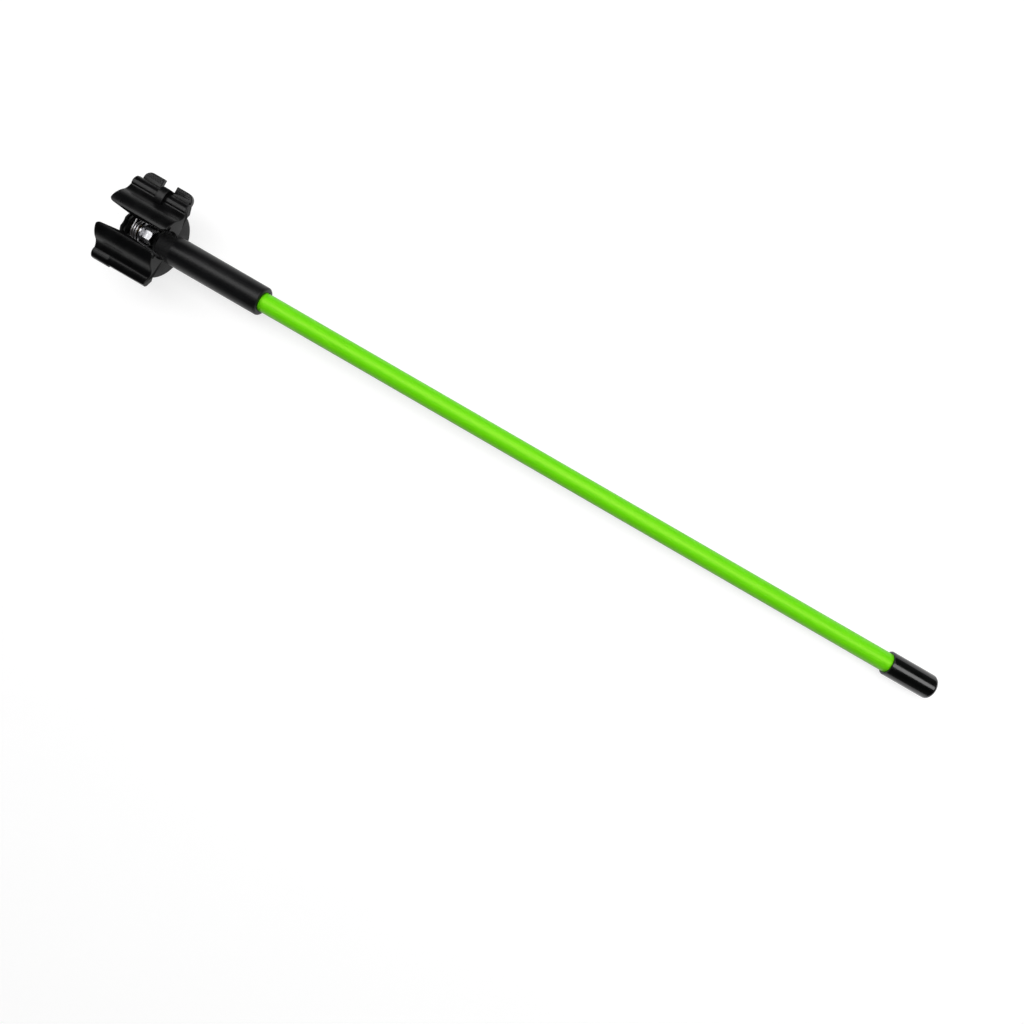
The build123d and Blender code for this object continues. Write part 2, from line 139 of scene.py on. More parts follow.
class StickSizes(bpy.types.PropertyGroup):
    """Sizes of the finished pieces that the frame leaves open."""

    sides: bpy.props.IntProperty(
        name="Sides", description="Faces round a turned piece", default=96, min=12, max=256
    )
    wall_gap: length_setting("Wall Gap", "Gap between the rod and what is pushed over it", 0.03)

    rod_round: length_setting("Rod Round", "Round of the rod's two end edges", 0.3)
    sleeve_root_round: length_setting("Sleeve Root Round", "Round of the sleeve's edge at the hub", 0.15)
    sleeve_round: length_setting("Sleeve Round", "Round at the outer end of the sleeve", 0.9)
    sleeve_mouth: length_setting("Sleeve Mouth", "Round of the sleeve's bore at its outer end", 0.35)
    matt_root: length_setting("Matt Root", "Length of the sleeve's matt band beside the hub", 6.2)
    matt_fade: length_setting("Matt Fade", "Half the length over which that band turns satin", 0.8)
    cap_round: length_setting("Cap Round", "Round at the closed end of the cap", 1.7)
    cap_lip: length_setting("Cap Lip", "Round of the cap's open rim", 0.35)
    cap_mouth: length_setting("Cap Mouth", "Round of the cap's bore at its open rim", 0.25)
    cap_floor: length_setting("Cap Floor", "Round at the bottom of the cap's bore", 0.2)
    washer_bore: length_setting("Washer Bore", "Radius of the washer's hole", 1.55)
    washer_edge: length_setting("Washer Edge", "Round of the washer's edges", 0.18)

    hub_round: length_setting("Hub Round", "Width of the rounded rim of the hub's disc", 0.9)
    rim_share: bpy.props.FloatProperty(
        name="Rim Share", description="How far out the disc's rim lies at least, in radii of the sleeve",
        default=1.5, min=1.0,
    )
    edge_round: length_setting("Edge Round", "Width of the rounded long edges of the jaws", 0.2)
    long_edge: length_setting("Long Edge", "Length from which an edge of a jaw is rounded", 2.0)
    mouth_reach: length_setting("Mouth Reach", "From the middle plane past the mouth's corners", 7.5)
    mouth_half: length_setting("Mouth Half", "From the middle plane to a lip, halfway along", 3.3)
    mouth_flare: angle_setting("Mouth Flare", "Slope of the lips towards the ends of the jaws", 6.5)
    jaw_bevel: length_setting("Jaw Bevel", "Length of the bevelled end of a jaw", 1.0)
    end_slant: length_setting("End Slant", "How far a jaw's right end falls back at its wing", 1.4)
    slant_start: length_setting("Slant Start", "From the middle plane to where it starts back", 12.0)
    slant_end: length_setting("Slant End", "From the middle plane to where it is all back", 17.5)
    bead_from: length_setting("Bead From", "From the middle plane to the inner side of the bead", 14.0)
    bead_to: length_setting("Bead To", "From the middle plane to the outer side of the bead", 18.3)
    bead_flat: length_setting("Bead Flat", "Depth of the narrow flat along the bead's top", 0.06)

    pad_thickness: length_setting("Pad Thickness", "Thickness of a pad between its ribs", 0.8)
    rib_pitch: length_setting("Rib Pitch", "Distance between the ribs of a pad", 1.6)
    rib_height: length_setting("Rib Height", "Height of the ribs of a pad", 0.3)

    bead_above_tab: length_setting("Bead Above Tab", "From the tab's underside up to the bead", 5.3)
    hook_height: bpy.props.FloatProperty(
        name="Hook Height", default=0.5, min=0.1, max=1.0,
        description="Height of the tab's hook over the bead, as a share of the frame's",
    )
    tab_thickness: length_setting("Tab Thickness", "Thickness of the thumb tab's prongs", 1.8)
    tab_notch: length_setting("Tab Notch", "Width of the notch between the prongs", 5.6)
    tab_corner: length_setting("Tab Corner", "Round of the prongs' outer corners", 3.0)
    dot_pitch: length_setting("Dot Pitch", "Distance between the grip dots of the thumb tab", 0.8)
    dot_radius: length_setting("Dot Radius", "Radius of a grip dot", 0.27)
    dot_height: length_setting("Dot Height", "Height of a grip dot", 0.2)

    wire_radius: length_setting("Wire Radius", "Radius of the spring's wire", 0.35)
    wire_sides: bpy.props.IntProperty(
        name="Wire Sides", description="Faces round the spring's wire", default=20, min=6
    )
    coil_radius: length_setting("Coil Radius", "From the stick's axis to the middle of the wire", 5.0)
    coil_pitch: length_setting("Coil Pitch", "Advance of the spring in one turn", 0.95)
    coil_gap: length_setting("Coil Gap", "Gap between the coil and the washer", 0.15)
    coil_turns: bpy.props.IntProperty(
        name="Coil Turns", description="Whole turns of the spring between its legs", default=2, min=1
    )
    hook_reach: length_setting("Hook Reach", "From the stick's axis to the spring's hook", 8.3)
    hook_angle: angle_setting("Hook Angle", "Turn of the spring's hook from the thumb tab's side", 38.0)
    hook_bend: length_setting("Hook Bend", "Radius of the bend at the spring's hook", 0.8)
    stop_reach: length_setting("Stop Reach", "From the stick's axis to the fixed leg's stop", 8.0)
    stop_angle: angle_setting("Stop Angle", "Turn of that stop from the thumb tab's side", 216.0)
    anchor_reach: length_setting("Anchor Reach", "From the stick's axis to the fixed leg's end", 11.6)


class StickColours(bpy.types.PropertyGroup):
    """Colours of the stick's materials."""

    lime: colour_setting("Lime", "The rod's resin", (0.135, 0.76, 0.002))
    lime_fibre: colour_setting("Lime Fibre", "The paler fibres in the rod", (0.20, 0.83, 0.006))
    plastic: colour_setting("Clip Plastic", "The clip's mouldings", (0.0016, 0.0016, 0.0018))
    rubber: colour_setting("Sleeve Rubber", "The sleeve", (0.003, 0.003, 0.0034))
    vinyl: colour_setting("Cap Vinyl", "The cap", (0.002, 0.0022, 0.0021))
    pad: colour_setting("Pad Rubber", "The linings of the clip's seat", (0.012, 0.012, 0.013))
    zinc: colour_setting("Zinc", "Plated screws, nut and washer", (0.42, 0.42, 0.435))
    wire: colour_setting("Spring Wire", "The spring", (0.42, 0.41, 0.42))
    brass: colour_setting("Brass", "The bush and the insert", (0.78, 0.56, 0.24))
    nylon: colour_setting("Nylon", "The collar in the lock nut", (0.74, 0.76, 0.72))


class StudioSettings(bpy.types.PropertyGroup):
    """The floor, the lamps and the camera."""

    floor_tone: bpy.props.FloatProperty(
        name="Floor Tone", description="How pale the floor is", default=0.28, min=0.0, max=1.0
    )
    floor_glow: bpy.props.FloatProperty(
        name="Floor Glow", description="Glow added to the floor where it is seen", default=0.78, min=0.0
    )
    floor_reach: length_setting("Floor Reach", "From the clip to the floor's edges", 40000)
    horizon: bpy.props.FloatProperty(
        name="Horizon", description="Strength of the light from low down", default=0.07, min=0.0
    )
    zenith: bpy.props.FloatProperty(
        name="Zenith", description="Strength of the light from straight above", default=0.012, min=0.0
    )
    horizon_top: angle_setting("Horizon Top", "Height up to which the light is as at the horizon", 10.0)
    zenith_foot: angle_setting("Zenith Foot", "Height from which the light is as straight above", 40.0)
    key_power: bpy.props.FloatProperty(
        name="Key Power", description="Power of the lamp overhead", default=8.5, min=0.0, unit="POWER"
    )
    key_length: length_setting("Key Length", "Length of the lamp overhead", 2000)
    key_width: length_setting("Key Width", "Width of the lamp overhead", 360)
    key_height: length_setting("Key Height", "Height of the lamp above the stick", 700)
    key_lean: angle_setting("Key Lean", "Lean of the lamp towards the thumb tab's side", 11.0)
    fill_power: bpy.props.FloatProperty(
        name="Fill Power", description="Power of the lamp on the thumb tab's side",
        default=2.4, min=0.0, unit="POWER",
    )
    fill_length: length_setting("Fill Length", "Length of that lamp", 560)
    fill_width: length_setting("Fill Width", "Width of that lamp", 500)
    fill_side: length_setting("Fill Side", "How far to the side of the stick it stands", 710)
    fill_height: length_setting("Fill Height", "Height of that lamp above the stick", 840)
    camera_height: length_setting("Camera Height", "Height of the camera above the stick's axis", 295.6)
    camera_share: bpy.props.FloatProperty(
        name="Camera Place", default=0.5312, min=0.0, max=1.0,
        description="Place of the camera along the object, as a share of its length",
    )
    camera_roll: angle_setting("Camera Roll", "Turn of the camera about its own line of sight", 30.04)
    camera_lens: bpy.props.FloatProperty(
        name="Camera Lens", description="Focal length on a 36 mm sensor", default=26.4, unit="CAMERA"
    )
    camera_shift: bpy.props.FloatProperty(
        name="Camera Shift", description="Shift of the picture both ways, as a share of its width",
        default=-0.041,
    )


def sizes():
    """The sizes that the scene holds."""
    return bpy.context.scene.stick_sizes


def colours():
    """The colours that the scene holds."""
    return bpy.context.scene.stick_colours


def studio():
    """The studio settings that the scene holds."""
    return bpy.context.scene.stick_studio


# Materials


class Finish:
    """A material with one main shader, and short ways to add the nodes that feed it."""

    def __init__(self, name, **constants):
        self.material = bpy.data.materials.new(name)
        self.material.use_nodes = True
        self.tree = self.material.node_tree
        self.tree.nodes.clear()
        self.shader = self.add("ShaderNodeBsdfPrincipled")
        self.output = self.add("ShaderNodeOutputMaterial")
        self.feed(self.output, {"Surface": self.shader.outputs["BSDF"]})
        for socket, value in constants.items():
            self.shader.inputs[socket.replace("_", " ")].default_value = value

    def add(self, kind, **settings):
        """A new node with its settings."""
        node = self.tree.nodes.new(kind)
        for setting, value in settings.items():
            setattr(node, setting, value)
        return node

    def feed(self, node, values):
        """Sets or links a node's inputs by name or number."""
        for socket, value in values.items():
            if isinstance(value, bpy.types.NodeSocket):
                self.tree.links.new(value, node.inputs[socket])
            else:
                node.inputs[socket].default_value = value

    def place(self, stretch=(1.0, 1.0, 1.0)):
        """The place on the piece in millimetres, stretched each way."""
        coordinates = self.add("ShaderNodeTexCoord")
        mapping = self.add("ShaderNodeMapping")
        scale = [share / MM for share in stretch]
        self.feed(mapping, {"Vector": coordinates.outputs["Object"], "Scale": scale})
        return mapping.outputs["Vector"]

    def noise(self, place, scale, detail=2.0, roughness=0.5):
        """A cloud from 0 to 1, finer for a larger scale."""
        node = self.add("ShaderNodeTexNoise")
        self.feed(node, {"Vector": place, "Scale": scale, "Detail": detail, "Roughness": roughness})
        return node.outputs["Fac"]

    def spread(self, value, source=(0.3, 0.7), target=(0.0, 1.0)):
        """A value moved from one range to another, and kept inside it."""
        node = self.add("ShaderNodeMapRange")
        self.feed(node, {"Value": value, "From Min": source[0], "From Max": source[1]})
        self.feed(node, {"To Min": target[0], "To Max": target[1]})
        return node.outputs["Result"]

    def blend(self, share, first, second):
        """A colour between two others."""
        node = self.add("ShaderNodeMix", data_type="RGBA")
        sockets = {s.identifier: s for s in node.inputs}
        values = {"Factor_Float": share, "A_Color": first, "B_Color": second}
        for identifier, value in values.items():
            if isinstance(value, bpy.types.NodeSocket):
                self.tree.links.new(value, sockets[identifier])
            else:
                sockets[identifier].default_value = (*value, 1.0)
        return {s.identifier: s for s in node.outputs}["Result_Color"]

    def relief(self, height, strength, depth, below=None):
        """A bump of a depth in millimetres, on top of another."""
        node = self.add("ShaderNodeBump")
        self.feed(node, {"Height": height, "Strength": strength, "Distance": depth * MM})
        if below is not None:
            self.feed(node, {"Normal": below})
        return node.outputs["Normal"]

    def finish(self, body, roughness, surface):
        """Links the main shader, and returns the material."""
        self.feed(self.shader, {"Base Color": body, "Roughness": roughness, "Normal": surface})
        return self.material


def lighter(colour, share):
    """A colour moved towards white."""
    return tuple(part + (1 - part) * share for part in colour)


def scaled(colour, share):
    """A colour made darker or brighter."""
    return tuple(part * share for part in colour)


def lime_fibreglass():
    """Pultruded rod: long fibres in a coloured resin, with fine bright specks."""
    lime, fibre = colours().lime, colours().lime_fibre
    finish = Finish("lime_fibreglass", Specular_IOR_Level=0.8, Specular_Tint=(1.0, 0.85, 0.2, 1.0))
    fibres = finish.noise(finish.place((0.05, 1.0, 1.0)), scale=2.6, detail=4.0, roughness=0.6)
    bundles = finish.noise(finish.place((0.015, 1.0, 1.0)), scale=0.7)
    specks = finish.noise(finish.place((0.35, 1.0, 1.0)), scale=3.2, detail=1.0)
    body = finish.blend(finish.spread(fibres, (0.35, 0.7), (0.0, 0.55)), lime, fibre)
    body = finish.blend(finish.spread(bundles, (0.45, 0.65), (0.0, 0.12)), body, scaled(lime, 0.8))
    body = finish.blend(finish.spread(specks, (0.62, 0.78), (0.0, 0.3)), body, lighter(fibre, 0.12))
    surface = finish.relief(fibres, strength=0.35, depth=0.05)
    surface = finish.relief(specks, strength=0.15, depth=0.04, below=surface)
    return finish.finish(body, finish.spread(fibres, target=(0.36, 0.5)), surface)


def moulded_plastic():
    """Satin black moulding with a spark-eroded grain."""
    base = colours().plastic
    finish = Finish("moulded_plastic", IOR=1.3, Specular_IOR_Level=0.5)
    cloud = finish.noise(finish.place(), scale=0.25, detail=3.0)
    grain = finish.noise(finish.place(), scale=5.0, roughness=0.6)
    body = finish.blend(finish.spread(cloud, (0.35, 0.65)), base, scaled(base, 1.5))
    surface = finish.relief(grain, strength=0.3, depth=0.03)
    surface = finish.relief(cloud, strength=0.2, depth=0.08, below=surface)
    return finish.finish(body, finish.spread(cloud, target=(0.26, 0.34)), surface)


def sleeve_rubber():
    """Soft satin sleeve with faint marks along it, matt where it is pushed against the hub."""
    base = colours().rubber
    finish = Finish("sleeve_rubber", IOR=1.32)
    streaks = finish.noise(finish.place((0.08, 1.0, 1.0)), scale=1.2, detail=3.0)
    grain = finish.noise(finish.place(), scale=7.0, roughness=0.6)
    body = finish.blend(finish.spread(streaks), base, scaled(base, 1.6))
    surface = finish.relief(grain, strength=0.25, depth=0.02)
    surface = finish.relief(streaks, strength=0.15, depth=0.06, below=surface)
    split = finish.add("ShaderNodeSeparateXYZ")
    finish.feed(split, {"Vector": finish.place()})
    root, fade = (low("sleeve").x + sizes().matt_root) / MM, sizes().matt_fade / MM
    satin = finish.spread(streaks, target=(0.33, 0.41))
    matt = finish.spread(split.outputs["X"], (root - fade, root + fade), (0.7, 0.0))
    rough = finish.add("ShaderNodeMath", operation="MAXIMUM")
    finish.feed(rough, {0: satin, 1: matt})
    return finish.finish(body, rough.outputs[0], surface)


def dipped_vinyl():
    """Glossy black cap with the slow ripple of a dipped coat."""
    base = colours().vinyl
    finish = Finish("dipped_vinyl", IOR=1.54, Specular_IOR_Level=0.5)
    ripple = finish.noise(finish.place((0.4, 1.0, 1.0)), scale=0.5)
    body = finish.blend(finish.spread(ripple), base, scaled(base, 1.4))
    surface = finish.relief(ripple, strength=0.12, depth=0.12)
    return finish.finish(body, finish.spread(ripple, target=(0.14, 0.2)), surface)


def soft_rubber():
    """Matt rubber of the seat's linings."""
    base = colours().pad
    finish = Finish("soft_rubber", Specular_IOR_Level=0.3)
    dust = finish.noise(finish.place(), scale=1.4, detail=4.0, roughness=0.6)
    grain = finish.noise(finish.place(), scale=6.0)
    body = finish.blend(finish.spread(dust, (0.4, 0.7)), base, scaled(base, 2.2))
    surface = finish.relief(grain, strength=0.4, depth=0.03)
    return finish.finish(body, finish.spread(dust, target=(0.65, 0.8)), surface)


def plated_metal(name, colour, smooth, rough):
    """Bright metal with fine machining lines round the axis, and slight clouding."""
    finish = Finish(name, Metallic=1.0)
    lines = finish.noise(finish.place((6.0, 0.5, 0.5)), scale=1.0, detail=3.0)
    cloud = finish.noise(finish.place(), scale=0.9, detail=3.0)
    body = finish.blend(finish.spread(cloud), colour, scaled(colour, 0.82))
    surface = finish.relief(lines, strength=0.3, depth=0.02)
    return finish.finish(body, finish.spread(cloud, target=(smooth, rough)), surface)


def natural_nylon():
    """Milky nylon."""
    base = colours().nylon
    finish = Finish("natural_nylon", Specular_IOR_Level=0.4)
    cloud = finish.noise(finish.place(), scale=1.1, detail=3.0)
    body = finish.blend(finish.spread(cloud, (0.35, 0.65)), base, scaled(base, 0.85))
    surface = finish.relief(cloud, strength=0.1, depth=0.05)
    return finish.finish(body, finish.spread(cloud, target=(0.4, 0.55)), surface)


FINISHES = {
    "fibreglass": lime_fibreglass,
    "clip_plastic": moulded_plastic,
    "sleeve_rubber": sleeve_rubber,
    "cap_vinyl": dipped_vinyl,
    "pad_rubber": soft_rubber,
    "zinc_steel": lambda: plated_metal("zinc_plate", colours().zinc, 0.22, 0.34),
    "spring_steel": lambda: plated_metal("spring_wire", colours().wire, 0.28, 0.4),
    "brass": lambda: plated_metal("turned_brass", colours().brass, 0.25, 0.4),
    "nylon": natural_nylon,
}
made_finishes = {}


def finish_for(slot):
    """The material of a slot, made once."""
    if slot not in made_finishes:
        made_finishes[slot] = FINISHES[slot]()
    return made_finishes[slot]


# Meshes and Geometry Nodes

SAME_PLACE = 1e-7
SHARP_TURNED = math.radians(40)
# For the clip's mouldings: what is merged or flattened first, and which edges are rounded how.
MERGE_MOULDED = 0.05 * MM
FLAT_ENOUGH = math.radians(0.8)
SHARP_MOULDED = math.radians(35)
ON_FACE = 0.1 * MM
LEVEL = 0.001 * MM
ALONG_STICK = 0.98
ROUND_STEPS = 4


def new_piece(name, mesh, slot, *replaced):
    """Links a finished mesh as a piece, in place of the nodes it replaces."""
    mesh.materials.clear()
    mesh.materials.append(finish_for(slot))
    piece = bpy.data.objects.new(name, mesh)
    bpy.context.scene.collection.objects.link(piece)
    if replaced:
        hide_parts(*replaced)
    return piece


def add_piece(name, mesh, body, slot, *replaced):
    """Links a piece that rides on a body."""
    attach(new_piece(name, mesh, slot, *replaced), body)


def paint_node(node, slot):
    """Gives a node of the frame its finish."""
    target = frame["nodes"][node]
    target.data.materials.clear()
    target.data.materials.append(finish_for(slot))


def tidy_mesh(mesh):
    """Merges doubles, turns the faces outwards and shades the mesh smooth between sharp edges."""
    work = bmesh.new()
    work.from_mesh(mesh)
    bmesh.ops.remove_doubles(work, verts=work.verts, dist=SAME_PLACE)
    bmesh.ops.recalc_face_normals(work, faces=work.faces)
    work.to_mesh(mesh)
    work.free()
    mesh.shade_smooth()
    mesh.set_sharp_from_angle(angle=SHARP_TURNED)
    return mesh


def mesh_from(name, points, edges=(), faces=()):
    """A mesh from its points and what joins them."""
    mesh = bpy.data.meshes.new(name)
    mesh.from_pydata([tuple(point) for point in points], list(edges), list(faces))
    return mesh


def evaluated_mesh(holder, name):
    """The plain mesh of an object with its modifiers, which is then removed."""
    depsgraph = bpy.context.evaluated_depsgraph_get()
    mesh = bpy.data.meshes.new_from_object(holder.evaluated_get(depsgraph), depsgraph=depsgraph)
    mesh.name = name
    bpy.data.objects.remove(holder)
    return mesh


def run_tree(tree, name, mesh, **inputs):
    """Runs a Geometry Nodes tree on a mesh and returns what it makes."""
    holder = bpy.data.objects.new(name, mesh)
    bpy.context.scene.collection.objects.link(holder)
    modifier = holder.modifiers.new("Maker", "NODES")
    modifier.node_group = tree
    named = {item.name.replace(" ", "_"): item.identifier for item in tree.interface.items_tree}
    for label, value in inputs.items():
        modifier[named[label]] = value
    return evaluated_mesh(holder, name)


class Maker:
    """A Geometry Nodes tree with named inputs, and short ways to add to it."""

    def __init__(self, name, **inputs):
        self.tree = bpy.data.node_groups.new(name, "GeometryNodeTree")
        new_socket = self.tree.interface.new_socket
        new_socket("Geometry", in_out="INPUT", socket_type="NodeSocketGeometry")
        for label, kind in inputs.items():
            new_socket(label.replace("_", " "), in_out="INPUT", socket_type=f"NodeSocket{kind}")
        new_socket("Geometry", in_out="OUTPUT", socket_type="NodeSocketGeometry")
        self.inputs = self.tree.nodes.new("NodeGroupInput").outputs

    def add(self, kind, values=None, **settings):
        """The first output of a new node, with its inputs set or linked."""
        prefix = "" if kind.startswith("Shader") else "GeometryNode"
        node = self.tree.nodes.new(prefix + kind)
        for setting, value in settings.items():
            setattr(node, setting, value)
        for socket, value in (values or {}).items():
            if isinstance(value, bpy.types.NodeSocket):
                self.tree.links.new(value, node.inputs[socket])
            else:
                node.inputs[socket].default_value = value
        return node.outputs[0]

    def maths(self, operation, first, second=0.0):
        """Arithmetic on two numbers, or a function of one."""
        return self.add("ShaderNodeMath", {0: first, 1: second}, operation=operation)

    def finish(self, geometry):
        """Realizes the geometry, gives it its finish and ends the tree."""
        real = self.add("RealizeInstances", {"Geometry": geometry})
        smooth = self.add("SetShadeSmooth", {"Geometry": real})
        painted = self.add("SetMaterial", {"Geometry": smooth, "Material": self.inputs["Finish"]})
        output = self.tree.nodes.new("NodeGroupOutput")
        self.tree.links.new(painted, output.inputs[0])
        return self.tree


def turning_tree():
    """Turns an outline, given as (place along the stick, 0, radius), about the stick's axis."""
    maker = Maker("Turned Piece", Sides="Int", Points="Int", Axis_Height="Float", Finish="Material")
    sides, points = maker.inputs["Sides"], maker.inputs["Points"]
    row = maker.maths("ADD", sides, 1.0)
    grid = maker.add("MeshGrid", {"Vertices X": points, "Vertices Y": row})
    index = maker.add("InputIndex")
    station = maker.maths("FLOOR", maker.maths("DIVIDE", maker.maths("ADD", index, 0.5), row))
    step = maker.maths("SUBTRACT", index, maker.maths("MULTIPLY", station, row))
    turn = maker.maths("MULTIPLY", maker.maths("DIVIDE", step, sides), 2 * math.pi)
    outline = maker.add(
        "SampleIndex",
        {"Geometry": maker.inputs["Geometry"], "Value": maker.add("InputPosition"), "Index": station},
        data_type="FLOAT_VECTOR",
    )
    split = maker.tree.nodes.new("ShaderNodeSeparateXYZ")
    maker.tree.links.new(outline, split.inputs[0])
    along, radius = split.outputs["X"], split.outputs["Z"]
    across = maker.maths("MULTIPLY", radius, maker.maths("SINE", turn))
    above_axis = maker.maths("MULTIPLY", radius, maker.maths("COSINE", turn))
    up = maker.maths("ADD", above_axis, maker.inputs["Axis Height"])
    place = maker.add("ShaderNodeCombineXYZ", {"X": along, "Y": across, "Z": up})
    turned = maker.add("SetPosition", {"Geometry": grid, "Position": place})
    return maker.finish(maker.add("MergeByDistance", {"Geometry": turned, "Distance": SAME_PLACE}))


def wire_tree():
    """Gives a line its round section."""
    maker = Maker("Wire", Radius="Float", Sides="Int", Finish="Material")
    line = maker.add("MeshToCurve", {"Mesh": maker.inputs["Geometry"]})
    sides, radius = maker.inputs["Sides"], maker.inputs["Radius"]
    section = maker.add("CurvePrimitiveCircle", {"Resolution": sides, "Radius": radius})
    wire = maker.add("CurveToMesh", {"Curve": line, "Profile Curve": section, "Fill Caps": True})
    return maker.finish(wire)


def dots_tree():
    """Puts a low round dot on each point."""
    maker = Maker("Grip Dots", Radius="Float", Height="Float", Finish="Material")
    dot = maker.add("MeshIcoSphere", {"Radius": 1.0, "Subdivisions": 2})
    radius, height = maker.inputs["Radius"], maker.inputs["Height"]
    size = maker.add("ShaderNodeCombineXYZ", {"X": radius, "Y": radius, "Z": height})
    points = maker.inputs["Geometry"]
    copies = maker.add("InstanceOnPoints", {"Points": points, "Instance": dot, "Scale": size})
    return maker.finish(copies)


TREES = {"turning": turning_tree, "wire": wire_tree, "dots": dots_tree}
made_trees = {}


def tree_for(name):
    """A Geometry Nodes tree, made once."""
    if name not in made_trees:
        made_trees[name] = TREES[name]()
    return made_trees[name]


def rounded_outline(corners, closed=True, steps=6):
    """An outline through corners given as (x, y, round), with each round as an arc."""
    points = []
    count = len(corners)
    for n, (x, y, size) in enumerate(corners):
        corner = Vector((x, y))
        is_end = not closed and n in (0, count - 1)
        if size <= 0 or is_end:
            points.append(corner)
            continue
        before = (Vector(corners[n - 1][:2]) - corner).normalized()
        after = (Vector(corners[(n + 1) % count][:2]) - corner).normalized()
        half = before.angle(after) / 2
        reach = size / math.tan(half)
        centre = corner + (before + after).normalized() * size / math.sin(half)
        start, end = corner + before * reach - centre, corner + after * reach - centre
        sweep = start.angle_signed(end)
        points += [centre + Matrix.Rotation(-sweep * k / steps, 2) @ start for k in range(steps + 1)]
    return points


def turned_mesh(name, corners, slot, closed=True):
    """A piece turned about the stick's axis from (place along it, radius, round) corners."""
    points = rounded_outline(corners, closed)
    if closed:
        points.append(points[0])
    outline = mesh_from(name, [(x, 0.0, radius) for x, radius in points])
    mesh = run_tree(
        tree_for("turning"), name, outline,
        Sides=sizes().sides, Points=len(points), Axis_Height=AXIS_Z, Finish=finish_for(slot),
    )
    return tidy_mesh(mesh)


def softened_mesh(node, width, is_rounded, reshape=None):
    """A copy of a node, merged and reshaped, with the sharp edges that is_rounded picks rounded."""
    mesh = frame["nodes"][node].data.copy()
    work = bmesh.new()
    work.from_mesh(mesh)
    bmesh.ops.remove_doubles(work, verts=work.verts, dist=MERGE_MOULDED)
    bmesh.ops.dissolve_limit(work, angle_limit=FLAT_ENOUGH, verts=work.verts, edges=work.edges)
    if reshape:
        reshape(work.verts)
    weight = work.edges.layers.float.new("bevel_weight_edge")
    for edge in work.edges:
        is_sharp = edge.calc_face_angle(0.0) > SHARP_MOULDED
        edge[weight] = 1.0 if is_sharp and is_rounded(edge) else 0.0
    work.to_mesh(mesh)
    work.free()
    mesh.shade_smooth()
    holder = bpy.data.objects.new(node + "_rounded", mesh)
    bpy.context.scene.collection.objects.link(holder)
    edges = holder.modifiers.new("Edges", "BEVEL")
    edges.width = width
    edges.segments = ROUND_STEPS
    edges.limit_method = "WEIGHT"
    edges.use_clamp_overlap = False
    edges.miter_outer = "MITER_ARC"
    normals = holder.modifiers.new("Normals", "WEIGHTED_NORMAL")
    normals.keep_sharp = True
    return evaluated_mesh(holder, node + "_rounded")


# Pieces


class STICK_OT_rod(bpy.types.Operator):
    """Make the fibreglass rod"""

    bl_idname = "stick.rod"
    bl_label = "Rod"

    def execute(self, context):
        start, end, radius = low("rod").x, high("rod").x, outer_radius("rod")
        size = sizes().rod_round
        corners = [(start, 0, 0), (start, radius, size), (end, radius, size), (end, 0, 0)]
        mesh = turned_mesh("fibreglass_rod", corners, "fibreglass", False)
        add_piece("fibreglass_rod", mesh, STICK, "fibreglass", "rod")
        return {"FINISHED"}


class STICK_OT_sleeve(bpy.types.Operator):
    """Make the sleeve over the rod's root"""

    bl_idname = "stick.sleeve"
    bl_label = "Sleeve"

    def execute(self, context):
        start, end, radius = low("sleeve").x, high("sleeve").x, outer_radius("sleeve")
        bore = outer_radius("rod") + sizes().wall_gap
        corners = [
            (start, bore, 0),
            (start, radius, sizes().sleeve_root_round),
            (end, radius, sizes().sleeve_round),
            (end, bore, sizes().sleeve_mouth),
        ]
        mesh = turned_mesh("rod_sleeve", corners, "sleeve_rubber")
        add_piece("rod_sleeve", mesh, STICK, "sleeve_rubber", "sleeve")
        return {"FINISHED"}


class STICK_OT_cap(bpy.types.Operator):
    """Make the push-on tip cap"""

    bl_idname = "stick.cap"
    bl_label = "Tip Cap"

    def execute(self, context):
        start, end, radius = low("tip_cap").x, high("tip_cap").x, outer_radius("tip_cap")
        bore = outer_radius("rod") + sizes().wall_gap
        floor = high("rod").x + sizes().wall_gap
        corners = [
            (floor, 0, 0),
            (floor, bore, sizes().cap_floor),
            (start, bore, sizes().cap_mouth),
            (start, radius, sizes().cap_lip),
            (end, radius, sizes().cap_round),
            (end, 0, 0),
        ]
        mesh = turned_mesh("vinyl_cap", corners, "cap_vinyl", False)
        add_piece("vinyl_cap", mesh, STICK, "cap_vinyl", "tip_cap")
        return {"FINISHED"}


class STICK_OT_hub(bpy.types.Operator):
    """Make the hub"""

    bl_idname = "stick.hub"
    bl_label = "Hub"

    def execute(self, context):
        face, least = low("sleeve").x, outer_radius("sleeve") * sizes().rim_share

        def is_rim(edge):
            """Whether an edge is on the disc's round rim, on the side of the sleeve."""
            first, second = edge.verts[0].co, edge.verts[1].co
            middle = (first + second) / 2
            on_face = abs(middle.x - face) < ON_FACE
            is_level = abs(first.z - second.z) < LEVEL
            return on_face and math.hypot(middle.y, middle.z - AXIS_Z) > least and not is_level

        mesh = softened_mesh("hub", sizes().hub_round, is_rim)
        add_piece("hub_moulding", mesh, STICK, "clip_plastic", "hub")
        return {"FINISHED"}


